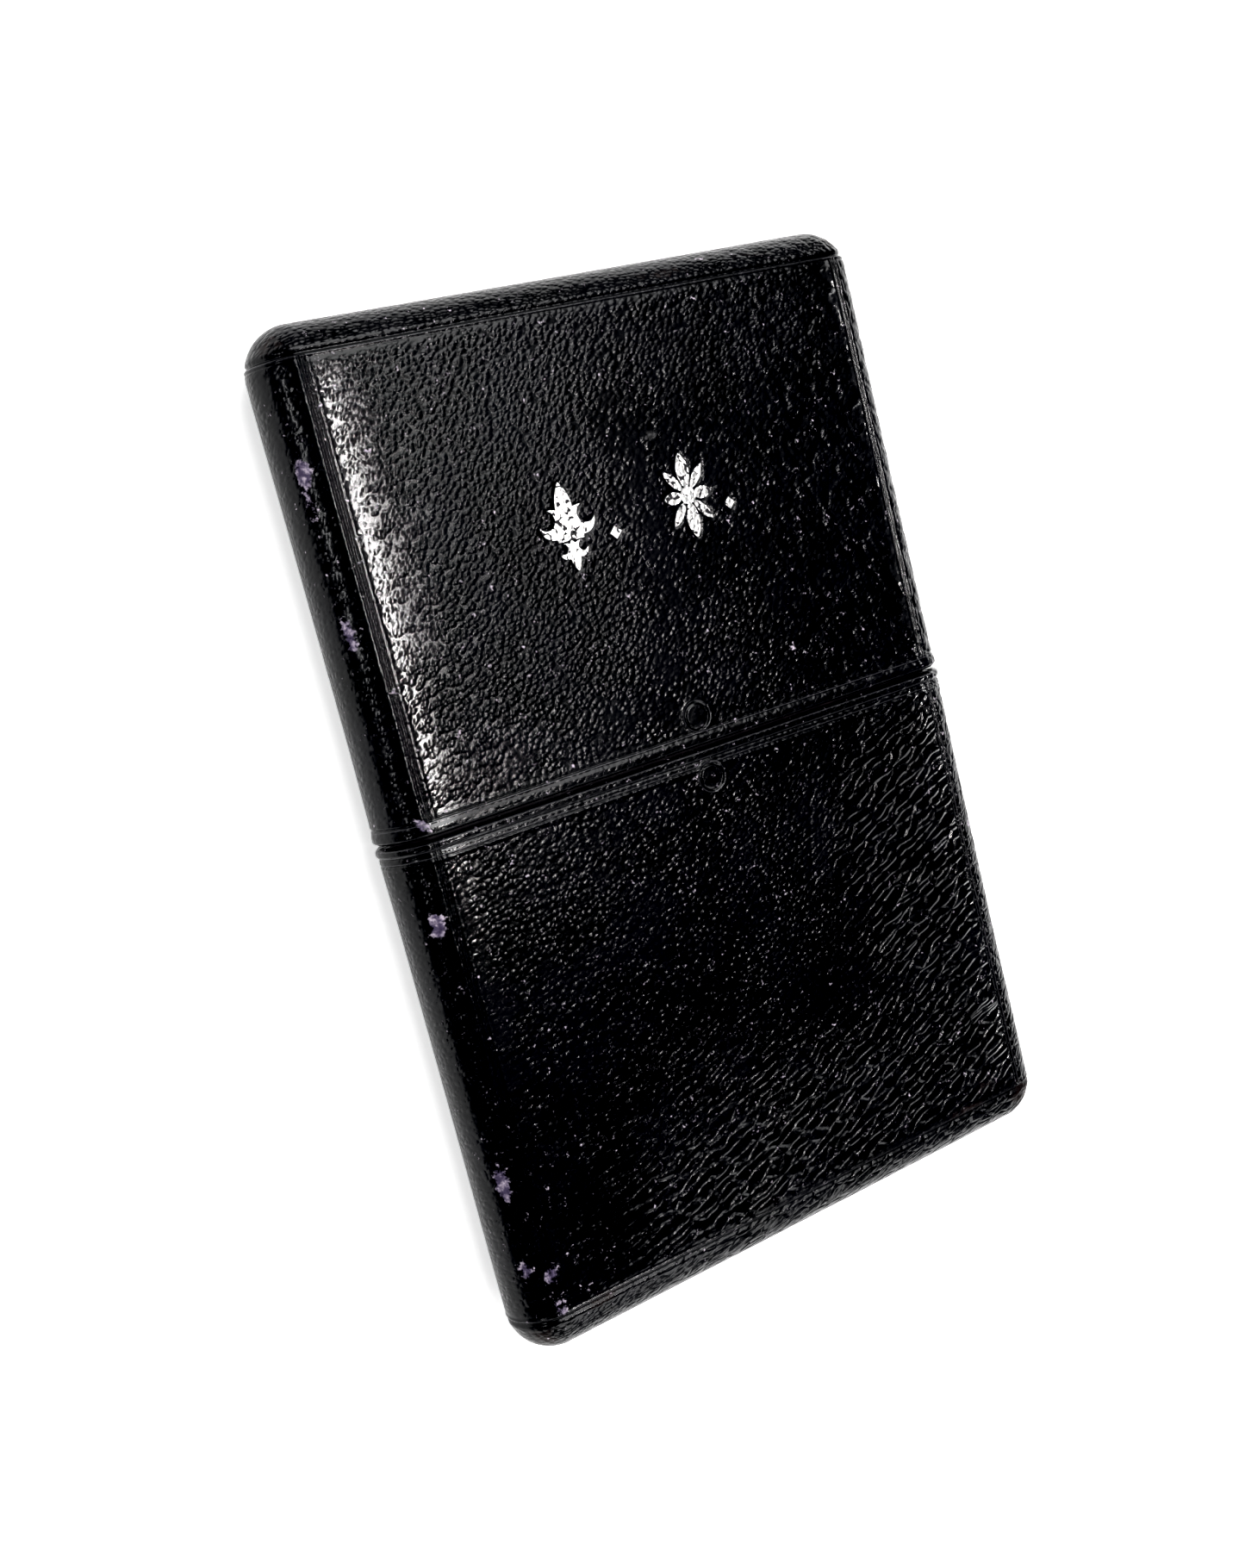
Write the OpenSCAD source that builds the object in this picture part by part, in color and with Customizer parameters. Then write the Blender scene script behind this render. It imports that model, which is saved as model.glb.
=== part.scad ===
// Pocket prayer book in its two-part pull-off slip case.
// The case lies on its back: X across, Y along it (cap at +Y), Z up through
// the front face. Origin: centre of the footprint, on the resting face.

/* [Case outside] */
// Overall width across the rounded long sides
case_w = 82; // [78:0.5:90]
// Overall length, from the foot of the lower half to the head of the cap
case_l = 122; // [116:0.5:132]
// Overall thickness, which is also the diameter of the rounded sides
case_t = 11; // [10.6:0.1:13]
// Distance of the seam above mid-length
seam_y = 2.6; // [-8:0.1:8]
// Gap between the two mouths with the cap pushed home
seam_gap = 0.3; // [0.2:0.05:0.6]

/* [Case walls] */
// Thickness of the goatskin cover
leather_t = 0.6; // [0.5:0.05:0.7]
// Thickness of the leather turned over each mouth
rim_t = 0.35; // [0.25:0.05:0.5]
// Thickness of the cap's pasteboard
board_t = 0.8; // [0.6:0.05:0.9]
// Thickness of the silk linings
lining_t = 0.15; // [0.12:0.01:0.2]
// Running gap between the neck and the cap's lining, per side
fit_gap = 0.15; // [0.1:0.01:0.2]
// Thickness of the thin leather over the neck
skiver_t = 0.2; // [0.15:0.01:0.25]
// Thickness of the neck's board
neck_t = 0.6; // [0.4:0.05:0.7]
// How far the neck stands out of the lower half
neck_out = 22; // [14:1:30]

/* [Tooling] */
// Distance of the lengthwise crease lines from the middle
crease_x = 36.5; // [34:0.5:37.5]
// Distance of the crease line near the cap's head from mid-length
crease_head = 56.8; // [55:0.1:57.5]
// Distance of the crease line near the foot from mid-length
crease_foot = 55.7; // [55:0.1:57.5]
// Depth of every blind-tooled line
crease_d = 0.12; // [0.05:0.01:0.2]
// Width of one blind-tooled line
crease_w = 0.22; // [0.1:0.02:0.4]
// Outer radius of the two stamped rings beside the seam
ring_r = 1.85; // [1.2:0.05:2.4]
// Distance of each ring's centre from the seam
ring_y = 3.8; // [3.7:0.1:6]
// Distance of the rings from the case's middle line
ring_x = 0.7; // [-3:0.1:3]
// Height of the silver ornaments
motif_h = 10.4; // [8:0.1:12]
// Thickness of the silver
foil_t = 0.06; // [0.04:0.01:0.1]

/* [Book] */
// Clearance between the closed book and the neck's lining, per side
book_gap = 0.2; // [0.15:0.01:0.3]
// Thickness of the book's cover leather
cover_t = 0.35; // [0.25:0.05:0.45]
// Thickness of each cover board
cover_board_t = 0.55; // [0.4:0.05:0.65]
// How far the covers stand out past the pages
square_w = 2; // [1.2:0.1:3]
// Width of the leather turned in round the boards
turn_in = 9; // [5:0.5:14]
// Number of folded gatherings in the text block (even)
gatherings_n = 4; // [2:2:6]
// Width of the ribbon marker
ribbon_w = 3.2; // [2:0.1:5]

/* [Hidden] */
$fn = 72;

// The case is one bullnose form. Every layer of wall is an inset of it, and all
// insets share the same centre lines: x = +-xc for the sides, y = +-yc for the ends.
zc = case_t/2;
xc = case_w/2 - case_t/2;
yc = case_l/2 - case_t/2;
mouth_lo = seam_y - seam_gap/2;            // rim of the lower half
mouth_hi = seam_y + seam_gap/2;            // rim of the cap
neck_top = mouth_lo + neck_out;
tuck = 4;                                  // neck cover tucked behind the rim

// insets from the outer skin
i_cap_board = leather_t + board_t;
i_cap_in = i_cap_board + lining_t;
i_neck_out = i_cap_in + fit_gap;
i_neck_board = i_neck_out + skiver_t;
i_neck_in = i_neck_board + neck_t;
i_silk = i_neck_in + lining_t;
function r_at(i) = case_t/2 - i;

// book, measured from the case's mid-plane
bh = r_at(i_silk) - book_gap;              // half thickness of the closed book
book_head = yc + sqrt(pow(r_at(i_cap_in), 2) - bh*bh) - 0.3;
book_tail = -(yc + sqrt(pow(r_at(i_silk), 2) - bh*bh) - 0.35);
fore_x = xc + 0.5;                         // fore-edge of the covers
hinge_x = -xc + 1;                         // boards start here, beside the spine
z_board = bh - cover_t;                    // outer face of a cover board
z_turn = z_board - cover_board_t;          // inner face of a cover board
z_in = z_turn - 0.2;                       // inner face of the turned-in leather
z_paste = z_in - 0.12;                     // inner face of a pastedown
z_fly = z_paste - 0.02;                    // outer face of a flyleaf
z_block = z_fly - 0.1;                     // half thickness of the gatherings
block_fore = fore_x - square_w;
block_back = -xc - 0.3;
block_head = book_head - square_w;
block_tail = book_tail + square_w;
ribbon_t = 0.14;
tape_t = 0.12;
gauze_t = 0.08;

leather_c = [0.07, 0.065, 0.085];
board_c = [0.62, 0.56, 0.46];
silk_c = [0.86, 0.82, 0.73];
silver_c = [0.86, 0.86, 0.88];
cover_c = [0.10, 0.08, 0.10];
paper_c = [0.94, 0.92, 0.86];

// ---------- the bullnose form ----------

// cross-section across the case, inset by i
module stadium(i) {
    square([2*xc, 2*r_at(i)], center = true);
    for (s = [-1, 1]) translate([s*xc, 0]) circle(r_at(i));
}

// half disc on the +X side
module half_disc(r) {
    intersection() {
        circle(r);
        translate([0, -r]) square([r, 2*r]);
    }
}

// straight bar of the case's section from y0 to y1
module bar(i, y0, y1) {
    translate([0, y1, zc]) rotate([90, 0, 0]) linear_extrude(y1 - y0) stadium(i);
}

// rounded head end, a half cylinder between two quarter balls
module round_end(i) {
    translate([-xc, yc, zc]) rotate([90, 0, 90]) linear_extrude(2*xc) half_disc(r_at(i));
    for (m = [0, 1]) mirror([m, 0, 0])
        translate([xc, yc, zc]) rotate_extrude(angle = 90) half_disc(r_at(i));
}

// closed form from y0 up to and round the head end
module to_head(i, y0) {
    bar(i, y0, yc);
    round_end(i);
}

// closed form from the foot end up to y1
module to_foot(i, y1) {
    mirror([0, 1, 0]) to_head(i, -y1);
}

// ---------- blind tooling, cut into the leather ----------

// two fine grooves side by side, along the case at x
module crease_pair(x, y0, y1) {
    depth_z = x > xc ? zc + sqrt(pow(zc, 2) - pow(x - xc, 2)) : case_t;
    for (s = [-1, 1])
        translate([x + s*0.26 - crease_w/2, y0, depth_z - crease_d - 0.03])
            cube([crease_w, y1 - y0, 1]);
}

// ring groove stamped beside the seam
module stamped_ring(y) {
    translate([ring_x, y, case_t - crease_d]) difference() {
        cylinder(h = 1, r = ring_r);
        translate([0, 0, -1]) cylinder(h = 3, r = ring_r - 0.42);
    }
}

// line all round the case, near an end
module girth_line(y) {
    difference() {
        translate([-case_w, y - crease_w/2, -1]) cube([2*case_w, crease_w, case_t + 2]);
        bar(crease_d + 0.18, y - 1, y + 1);
    }
}

// ---------- lower half ----------

module lower_leather() color(leather_c) difference() {
    to_foot(0, mouth_lo);
    to_foot(leather_t, mouth_lo - rim_t);
    bar(i_neck_out, mouth_lo - 2, mouth_lo + 1);
    for (s = [0, 1]) mirror([s, 0, 0])
        crease_pair(crease_x, -crease_foot, mouth_lo + 1);
    for (d = [1.4, 2.05]) girth_line(mouth_lo - d);
    stamped_ring(seam_y - ring_y);
}

module lower_board() color(board_c) difference() {
    to_foot(leather_t, mouth_lo - rim_t);
    to_foot(i_neck_board, mouth_lo + 1);
    bar(i_neck_out, mouth_lo - rim_t - tuck, mouth_lo + 1);
}

module neck_board() color(board_c) difference() {
    to_foot(i_neck_board, neck_top - skiver_t);
    to_foot(i_neck_in, neck_top + 1);
}

module neck_cover() color(leather_c) difference() {
    bar(i_neck_out, mouth_lo - rim_t - tuck, neck_top);
    bar(i_neck_board, mouth_lo - rim_t - tuck - 1, neck_top - skiver_t);
    bar(i_neck_in, neck_top - 1, neck_top + 1);
}

module lower_lining() color(silk_c) difference() {
    to_foot(i_neck_in, neck_top);
    to_foot(i_silk, neck_top + 1);
}

// ---------- cap ----------

module cap_leather() color(leather_c) difference() {
    to_head(0, mouth_hi);
    to_head(leather_t, mouth_hi + rim_t);
    bar(i_cap_in, mouth_hi - 1, mouth_hi + 2);
    for (s = [0, 1]) mirror([s, 0, 0])
        crease_pair(crease_x, mouth_hi + 1.7, crease_head);
    girth_line(mouth_hi + 1.7);
    stamped_ring(seam_y + ring_y);
}

module cap_board() color(board_c) difference() {
    to_head(leather_t, mouth_hi + rim_t);
    to_head(i_cap_board, mouth_hi - 1);
}

module cap_lining() color(silk_c) difference() {
    to_head(i_cap_board, mouth_hi + rim_t);
    to_head(i_cap_in, mouth_hi - 1);
}

// ---------- silver ornaments on the cap ----------

// pointed leaf of length l and width w, standing on the origin
module leaf(l, w) {
    r = (l*l/4 + w*w/4)/w;
    translate([0, l/2]) intersection() {
        translate([r - w/2, 0]) circle(r);
        translate([w/2 - r, 0]) circle(r);
    }
}

// crescent petal: a disc with a smaller disc taken from its upper outer side
module petal(r) {
    difference() {
        circle(r);
        translate([0.42*r, 0.36*r]) circle(0.68*r);
    }
}

// lily: upright leaf between two turned-out petals, a band, and a small foot
module lily() {
    s = motif_h/10.4;
    scale([s, s]) {
        translate([0, 3.9]) leaf(6.5, 2.3);
        for (m = [0, 1]) mirror([m, 0]) {
            translate([1.95, 5.75]) petal(1.75);
            translate([0.95, 2.45]) petal(0.95);
        }
        translate([-1.75, 3.6]) square([3.5, 0.75]);
        translate([0, 3.7]) rotate(180) leaf(3.7, 1.4);
    }
}

// rosette spray: four leaves on the diagonals, four on the axes, round a disc
module rosette() {
    s = motif_h/10.4;
    scale([s, s]) translate([0, 5.2]) {
        circle(1.05);
        for (a = [0, 180]) rotate(a) translate([0, 0.7]) leaf(4.5, 1.8);
        for (a = [90, 270]) rotate(a) translate([0, 0.7]) leaf(2.7, 1.5);
        for (a = [40, 140, 220, 320]) rotate(a) translate([0, 0.8]) leaf(3.6, 1.1);
    }
}

module left_ornament() color(silver_c)
    translate([-10.1, 27, case_t]) linear_extrude(foil_t) lily();

module right_ornament() color(silver_c)
    translate([6.9, 27.1, case_t]) linear_extrude(foil_t) rosette();

// lozenge after each ornament
module ornament_dots() color(silver_c)
    for (x = [-4.1, 12.5])
        translate([x, 30.2, case_t]) rotate([0, 0, 45])
            translate([-0.55, -0.55, 0]) cube([1.1, 1.1, foil_t]);

// ---------- book ----------

// bar with the closed book's section: square fore-edge, round spine at -X
module book_bar(r, y0, y1) {
    translate([0, y1, zc]) rotate([90, 0, 0]) linear_extrude(y1 - y0) {
        translate([-xc, -r]) square([fore_x + xc, 2*r]);
        translate([-xc, 0]) circle(r);
    }
}

// slab between two heights from the mid-plane, on the front (s=1) or back (s=-1)
module layer(s, x0, x1, y0, y1, za, zb) {
    translate([x0, y0, s > 0 ? zc + za : zc - zb]) cube([x1 - x0, y1 - y0, zb - za]);
}

// room inside the spine, left of the hinge
module spine_room(r, y0, y1) {
    translate([-xc, y1, zc]) rotate([90, 0, 0]) linear_extrude(y1 - y0) {
        rotate(180) half_disc(r);
        translate([0, -r]) square([hinge_x + xc, 2*r]);
    }
}

module cover_leather() color(cover_c) difference() {
    book_bar(bh, book_tail, book_head);
    spine_room(z_board, book_tail - 1, book_head + 1);
    translate([-xc, book_tail - 1, zc - z_in])
        cube([fore_x + xc + 1, book_head - book_tail + 2, 2*z_in]);
    for (s = [-1, 1]) {
        layer(s, hinge_x - 0.5, fore_x - cover_t, book_tail + cover_t, book_head - cover_t,
              z_turn, z_board);
        layer(s, hinge_x - 0.5, fore_x - turn_in, book_tail + turn_in, book_head - turn_in,
              z_in - 0.5, z_board - 0.1);
    }
}

module cover_board(s)
    layer(s, hinge_x, fore_x - cover_t, book_tail + cover_t, book_head - cover_t,
          z_turn, z_board);

module front_board() color(board_c) cover_board(1);
module back_board() color(board_c) cover_board(-1);

// folded sections of thin paper, round at the fold, parted in the middle for the ribbon
g_t = (2*z_block - ribbon_t - 0.06)/gatherings_n;
module gathering(z) {
    t = g_t - 0.02;
    translate([0, block_head, z]) rotate([90, 0, 0])
        linear_extrude(block_head - block_tail) {
            translate([block_back + t/2, -t/2]) square([block_fore - block_back - t/2, t]);
            translate([block_back + t/2, 0]) circle(t/2);
        }
}

module gatherings() color(paper_c)
    for (s = [-1, 1]) for (k = [0:gatherings_n/2 - 1])
        gathering(zc + s*((ribbon_t + 0.06)/2 + (k + 0.5)*g_t));

// linen tapes that the gatherings are sewn on
module sewing_tapes() color(silk_c)
    for (y = [-32, 1, 34])
        translate([block_back - tape_t, y - 2.5, zc - z_block])
            cube([tape_t, 5, 2*z_block]);

// gauze down the spine, glued out onto the boards
module spine_gauze() color([0.8, 0.77, 0.68]) {
    x0 = block_back - tape_t - gauze_t;
    y0 = block_tail + 8;
    y1 = block_head - 8;
    translate([x0, y0, zc - z_turn]) cube([gauze_t, y1 - y0, 2*z_turn]);
    for (s = [-1, 1]) layer(s, x0, hinge_x + 8, y0, y1, z_turn - gauze_t, z_turn);
}

// stiff paper that shapes the leather of the spine
module spine_liner() color(board_c)
    translate([-xc, book_head - cover_t, zc]) rotate([90, 0, 0])
        linear_extrude(book_head - book_tail - 2*cover_t) difference() {
            intersection() {
                circle(z_board);
                translate([-z_board - 1, -1.7]) square([z_board + 1 - 0.9, 3.4]);
            }
            circle(z_board - 0.2);
        }

module headband() color([0.62, 0.12, 0.14])
    translate([block_back + 0.45, block_head + 0.35, zc - z_block])
        cylinder(h = 2*z_block, r = 0.35);

module tailband() color([0.62, 0.12, 0.14])
    translate([block_back + 0.45, block_tail - 0.35, zc - z_block])
        cylinder(h = 2*z_block, r = 0.35);

// folded endpaper: pastedown on the board, free leaf on the text block
module endpaper(s) difference() {
    union() {
        layer(s, hinge_x, fore_x - turn_in, book_tail + turn_in, book_head - turn_in,
              z_in, z_turn);
        layer(s, hinge_x, fore_x - 1.6, book_tail + 1.6, book_head - 1.6, z_paste, z_in);
        layer(s, hinge_x - 0.4, hinge_x, block_tail, block_head, z_block, z_in);
        layer(s, block_back + 0.5, block_fore, block_tail, block_head, z_block, z_fly);
    }
    layer(s, block_back - 1, hinge_x + 8, block_tail + 8, block_head - 8,
          z_turn - gauze_t, z_turn + 1);
}

module front_endpaper() color(paper_c) endpaper(1);
module back_endpaper() color(paper_c) endpaper(-1);

// silk ribbon, glued to the spine at the head and laid down between the pages
module ribbon_marker() color([0.55, 0.10, 0.12])
    translate([0, 0, zc - ribbon_t/2]) linear_extrude(ribbon_t)
        polygon([[block_back + 0.4, block_head], [block_back + 0.4, block_head - 3.4],
                 [-26 - ribbon_w, block_head - 26], [-24 - ribbon_w, block_tail - 1.3],
                 [-24 - ribbon_w/2, block_tail - 0.6], [-24, block_tail - 1.3],
                 [-26, block_head - 26], [block_back + 3.4, block_head]]);

lower_leather();
lower_board();
neck_board();
neck_cover();
lower_lining();
cap_leather();
cap_board();
cap_lining();
left_ornament();
right_ornament();
ornament_dots();
cover_leather();
front_board();
back_board();
gatherings();
sewing_tapes();
spine_gauze();
spine_liner();
headband();
tailband();
front_endpaper();
back_endpaper();
ribbon_marker();
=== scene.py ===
import bpy, math
import numpy as np
from mathutils import Vector, Matrix
from mathutils.bvhtree import BVHTree


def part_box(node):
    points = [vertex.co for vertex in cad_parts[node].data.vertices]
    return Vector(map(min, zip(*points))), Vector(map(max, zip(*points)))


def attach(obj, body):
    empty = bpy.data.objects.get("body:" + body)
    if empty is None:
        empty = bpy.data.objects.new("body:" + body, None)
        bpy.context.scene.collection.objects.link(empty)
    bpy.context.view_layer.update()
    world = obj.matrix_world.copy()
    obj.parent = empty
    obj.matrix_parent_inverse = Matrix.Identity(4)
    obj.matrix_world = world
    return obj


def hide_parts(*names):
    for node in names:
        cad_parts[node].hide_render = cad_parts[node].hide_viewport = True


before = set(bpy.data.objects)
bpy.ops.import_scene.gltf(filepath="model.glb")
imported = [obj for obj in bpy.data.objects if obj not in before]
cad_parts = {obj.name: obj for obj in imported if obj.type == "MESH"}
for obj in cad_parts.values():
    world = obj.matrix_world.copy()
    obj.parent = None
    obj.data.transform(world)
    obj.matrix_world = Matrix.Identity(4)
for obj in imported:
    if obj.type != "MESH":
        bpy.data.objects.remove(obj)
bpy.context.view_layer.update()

# ------------------------------------------------------------------ sizes, mm
_a, _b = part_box("lower_leather")
_c, _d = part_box("cap_leather")
W = (_b.x - _a.x)*1000.0
T = (_b.z - _a.z)*1000.0
L = (_d.y - _a.y)*1000.0
MOUTH_LO = _b.y*1000.0            # rim of the lower half
MOUTH_HI = _c.y*1000.0            # rim of the cap
SEAM = (MOUTH_LO + MOUTH_HI)/2
R0 = T/2
XC, YC, ZC = W/2 - R0, L/2 - R0, T/2
I_CAP_IN = 1.55
I_NECK = 1.70
CREASE_X, CREASE_HEAD, CREASE_FOOT = 36.5, 56.8, 55.7
RINGS = [(0.7, SEAM + 3.8), (0.7, SEAM - 3.8)]

# ------------------------------------------------------------------ numpy noise
def _hash(ix, iy, iz, seed):
    h = (ix.astype(np.int64)*374761393 + iy.astype(np.int64)*668265263
         + iz.astype(np.int64)*2246822519 + seed*3266489917) & 0xFFFFFFFF
    h = ((h ^ (h >> 13))*1274126177) & 0xFFFFFFFF
    h = ((h ^ (h >> 16))*2654435761) & 0xFFFFFFFF
    h = h ^ (h >> 15)
    return h.astype(np.float64)/4294967296.0

def vnoise(p, scale, seed=0):
    """value noise from -1 to 1"""
    q = p*scale
    i = np.floor(q); f = q - i; f = f*f*f*(f*(f*6 - 15) + 10)
    i = i.astype(np.int64)
    out = 0.0
    for dx in (0, 1):
        wx = f[:, 0] if dx else 1 - f[:, 0]
        for dy in (0, 1):
            wy = f[:, 1] if dy else 1 - f[:, 1]
            for dz in (0, 1):
                wz = f[:, 2] if dz else 1 - f[:, 2]
                out = out + wx*wy*wz*_hash(i[:, 0]+dx, i[:, 1]+dy, i[:, 2]+dz, seed)
    return out*2 - 1

def fbm(p, scale, octaves=3, seed=0):
    out, amp, tot = 0.0, 1.0, 0.0
    for k in range(octaves):
        out = out + amp*vnoise(p, scale*2**k, seed + 17*k); tot += amp; amp *= 0.5
    return out/tot

def cells(x, y, seed=0):
    """2-D Worley noise: nearest and second nearest distance"""
    ix, iy = np.floor(x).astype(np.int64), np.floor(y).astype(np.int64)
    f1 = np.full(x.shape, 9.0); f2 = np.full(x.shape, 9.0)
    zero = np.zeros_like(ix)
    for dx in (-1, 0, 1):
        for dy in (-1, 0, 1):
            px = ix + dx + _hash(ix+dx, iy+dy, zero, seed)
            py = iy + dy + _hash(ix+dx, iy+dy, zero + 7, seed)
            d = np.hypot(px - x, py - y)
            far = np.maximum(d, f1); f1 = np.minimum(d, f1)
            f2 = np.minimum(f2, far)
    return f1, f2

def smooth(e0, e1, x):
    t = np.clip((x - e0)/(e1 - e0), 0, 1)
    return t*t*(3 - 2*t)

def gauss(d, w):
    return np.exp(-(d/w)**2)

# ------------------------------------------------------------------ the case's form
ARC = R0*math.pi/2

def form(a, b, side):
    """a, b: arc lengths across and along from the middle. Returns point on the
    nominal surface and its normal."""
    sa, sb = np.sign(a), np.sign(b)
    ta = np.clip((np.abs(a) - XC)/R0, 0, math.pi/2)
    tb = np.clip((np.abs(b) - YC)/R0, 0, math.pi/2)
    u, v = np.sin(ta), np.sin(tb)
    nx = sa*u*np.sqrt(1 - v*v/2)
    ny = sb*v*np.sqrt(1 - u*u/2)
    nz = side*np.sqrt(np.clip(1 - nx*nx - ny*ny, 0, None))
    n = np.stack([nx, ny, nz], 1)
    c = np.stack([np.clip(a, -XC, XC), np.clip(b, -YC, YC), np.full(a.shape, ZC)], 1)
    return c, n

_orn = []
for _n in ("left_ornament", "right_ornament", "ornament_dots"):
    _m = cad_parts[_n].data
    _orn.append(BVHTree.FromPolygons([v.co*1000.0 for v in _m.vertices],
                                     [tuple(p.vertices) for p in _m.polygons]))

def ornament_distance(P, N):
    """distance from points of the front face to the silver, mm (9 where far)"""
    out = np.full(len(P), 9.0)
    near = (N[:, 2] > 0.99) & (P[:, 0] > -17) & (P[:, 0] < 17) & (P[:, 1] > 23) & (P[:, 1] < 41)
    for i in np.nonzero(near)[0]:
        p = Vector((P[i, 0], P[i, 1], T + 0.03))
        best = 9.0
        for t in _orn:
            hit = t.find_nearest(p, 2.0)
            if hit[0] is not None:
                best = min(best, hit[3])
        out[i] = best
    return out

def vee(d, w):
    """a cut with straight flanks, 1 deep at the middle and w wide each way"""
    t = np.clip(1 - np.abs(d)/w, 0, 1)
    return t - 0.12*t*t

def relief(P, N, eta, cap):
    """height of the leather over the nominal form, and masks, for points P (mm)"""
    x, y = P[:, 0], P[:, 1]
    front = smooth(0.2, 0.8, N[:, 2])
    back = smooth(0.2, 0.8, -N[:, 2])
    # the crest mask built below, along the creases, the girth line, the mouth lines and the rings, sets where the
    # shader paints a highlight into the leather's colour
    h = np.zeros(len(P)); flat = np.zeros(len(P)); edge = np.zeros(len(P))
    ax = np.abs(x)
    # slow unevenness of hand-pasted leather
    h += 0.06*fbm(P, 1/19.0, 2, 3)*(1 - 0.5*back)*(0.35 + 0.65*smooth(-34, -12, x))
    # long creases, a pair of fine lines with a thread of leather between them
    wob = 0.05*vnoise(P*np.array([0, 1.0, 0]), 1/9.0, 41)
    dx = ax - CREASE_X + wob
    if cap:
        on = smooth(1.6, 1.95, eta)*(1 - smooth(CREASE_HEAD - 0.2, CREASE_HEAD + 0.2, y))
    else:
        on = 1 - smooth(CREASE_FOOT - 0.2, CREASE_FOOT + 0.2, -y)
    on = on*(np.abs(N[:, 2]) > 0.8)
    h -= on*0.15*(gauss(dx - 0.27, 0.12) + gauss(dx + 0.27, 0.12))
    h += on*(0.05*gauss(np.abs(dx) - 0.72, 0.3) + 0.02*gauss(dx, 0.1))
    flat = np.maximum(flat, on*gauss(dx, 0.42))
    edge = np.maximum(edge, on*gauss(dx, 0.10)*(0.45 if cap else 0.25 + 0.75*smooth(0, 10, x)))
    # girth line near the end, all round
    wob = 0.06*vnoise(P*np.array([1.0, 0, 1.0]), 1/11.0, 43)
    dy = (y - CREASE_HEAD if cap else -y - CREASE_FOOT) + wob
    h -= 0.22*gauss(dy - 0.35, 0.2) + 0.07*gauss(dy + 0.33, 0.1)
    h += 0.06*gauss(dy + 0.05, 0.16) + 0.05*gauss(dy - 0.95, 0.35)
    flat = np.maximum(flat, gauss(dy, 0.7))
    edge = np.maximum(edge, 0.8*gauss(dy + 0.06, 0.12))
    # lines beside the mouth, and the swelling of the lip
    wob = 0.035*vnoise(P*np.array([1.0, 0, 1.0]), 1/8.0, 47 + cap)
    e = eta + wob
    if cap:
        h -= 0.15*vee(e - 1.85, 0.19)
        h += 0.045*gauss(e - 1.60, 0.10) + 0.05*gauss(e - 2.2, 0.22)
        edge = np.maximum(edge, gauss(e - 1.62, 0.09)); edge = np.maximum(edge, gauss(e - 0.30, 0.10))
    else:
        h -= 0.13*vee(e - 1.38, 0.17) + 0.13*vee(e - 2.18, 0.17)
        h += 0.04*gauss(e - 1.14, 0.09) + 0.04*gauss(e - 1.95, 0.09)
        edge = np.maximum(edge, np.maximum(gauss(e - 1.15, 0.085), gauss(e - 1.96, 0.085)))
        edge = np.maximum(edge, gauss(e - 0.34, 0.10))
        h += 0.04*gauss(e - 2.4, 0.22)
    lip = smooth(0.0, 0.35, e)*(1 - smooth(0.9, 1.7 if cap else 1.2, e))
    # the back lies flat on the table, so the lip swells only on the front and sides
    h += lip*(0.20 + 0.06*vnoise(P, 1/6.0, 5))*(1 - back)
    flat = np.maximum(flat, 0.40*(1 - smooth(1.6, 2.8, eta)))
    # stamped rings
    for (rx, ry) in RINGS:
        rho = np.hypot(x - rx, y - ry)
        h -= front*0.20*vee(rho - 1.60, 0.27)
        edge = np.maximum(edge, front*0.9*np.maximum(gauss(rho - 1.92, 0.10), 0.7*gauss(rho - 1.29, 0.10)))
        h += front*(0.05*gauss(rho - 2.05, 0.22) + 0.03*gauss(rho, 0.9))
        flat = np.maximum(flat, front*gauss(np.maximum(rho - 1.5, 0), 0.5)*0.8)
    # the sides draw in a little between the lips and the ends
    side = 1 - np.abs(N[:, 2])
    h -= side*0.14*smooth(2.5, 12, eta)*(1 - smooth(30, 56, eta))
    # wrinkles: long low folds, coarser to the lower right
    ca, sa_ = math.cos(math.radians(27)), math.sin(math.radians(27))
    s = x*ca + y*sa_; t = -x*sa_ + y*ca
    wx = s + 1.3*vnoise(P, 1/5.0, 11); wy = t + 0.7*vnoise(P, 1/3.5, 12)
    f1, f2 = cells(wx/3.6, wy/1.35, 21)
    fold = smooth(0.0, 0.42, f2 - f1)
    sx = x + 6*vnoise(P, 1/14.0, 61); sy = y + 6*vnoise(P, 1/14.0, 62)
    low = np.maximum(smooth(4, 28, sx)*(1 - smooth(-14, 12, sy)), 0.9*(1 - smooth(-46, -24, sy))*smooth(-36, -8, sx))
    low = np.maximum(low*front, 0.18*(1 - front)*(np.abs(y) < 57))
    h += 0.045*(fold - 0.72)*(0.25 + 0.75*low)*(1 - 0.85*flat)*(front + 0.4*(1 - front))
    # fine cracks falling to the right, on the right of the front
    ca, sa_ = math.cos(math.radians(-50)), math.sin(math.radians(-50))
    s = x*ca + y*sa_; t = -x*sa_ + y*ca
    f1, f2 = cells((s + 1.1*vnoise(P, 1/4.0, 31))/4.2, (t + 0.6*vnoise(P, 1/3.0, 32))/1.9, 33)
    right = smooth(6, 30, x)*smooth(-25, 5, y)*front
    h += 0.085*(smooth(0.0, 0.3, f2 - f1) - 0.8)*right*(1 - 0.85*flat)
    # pebbles that the mesh can carry
    f1, f2 = cells((x + 0.4*y + 0.3*vnoise(P, 1/1.3, 71))/0.85, (y - 0.35*x + 2.1*P[:, 2])/0.72, 73)
    h += 0.008*(0.5 - f1)*(1 - flat)
    # keep the resting face on the table
    h -= back*(0.07 + np.maximum(0, h - 0.02)*0.9)
    return h, flat, low, right, edge

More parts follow.
